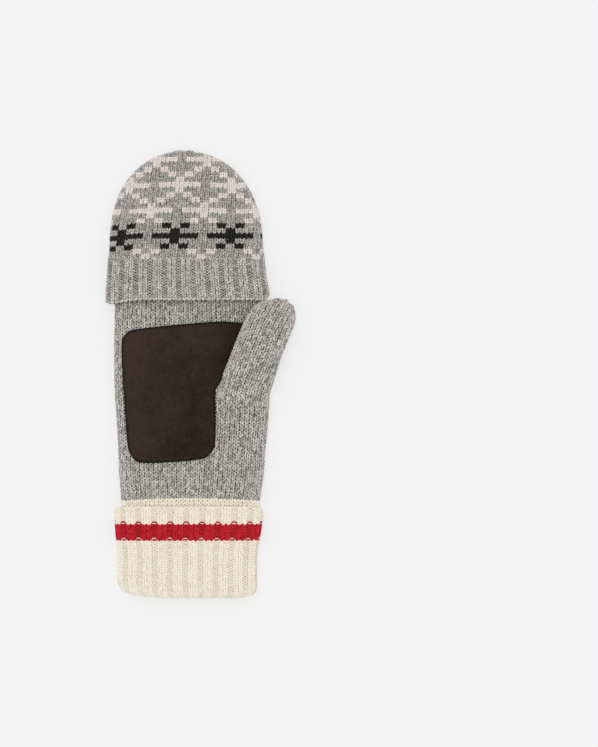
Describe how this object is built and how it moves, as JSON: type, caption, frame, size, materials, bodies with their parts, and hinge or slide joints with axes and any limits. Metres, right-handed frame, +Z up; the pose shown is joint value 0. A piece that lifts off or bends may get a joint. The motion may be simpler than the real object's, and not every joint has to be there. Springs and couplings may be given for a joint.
{
  "type": "convertible mitten",
  "caption": "Knitted convertible mitten lying palm up: flip-top cap with snowflake colourwork, suede palm patch, thumb, and a turned-up ribbed cuff with a stripe.",
  "frame": {"origin": "on the floor under the middle of the mitten, at the bottom centre of its box", "axes": "+Y from the wrist towards the fingers, +X towards the thumb, +Z up out of the palm"},
  "size_m": [0.1204, 0.2844, 0.0216],
  "materials": {
    "grey_knit": "heathered grey wool, stocking stitch",
    "cream_knit": "cream wool rib",
    "red_knit": "red wool rib",
    "brown_suede": "dark brown suede"
  },
  "bodies": {
    "root": {"hand": "grey_knit", "thumb": "grey_knit", "palm_patch": "brown_suede", "cap": "grey_knit", "cuff": "cream_knit", "cuff_stripe": "red_knit", "cuff_edge": "cream_knit"}
  },
  "joints": []
}
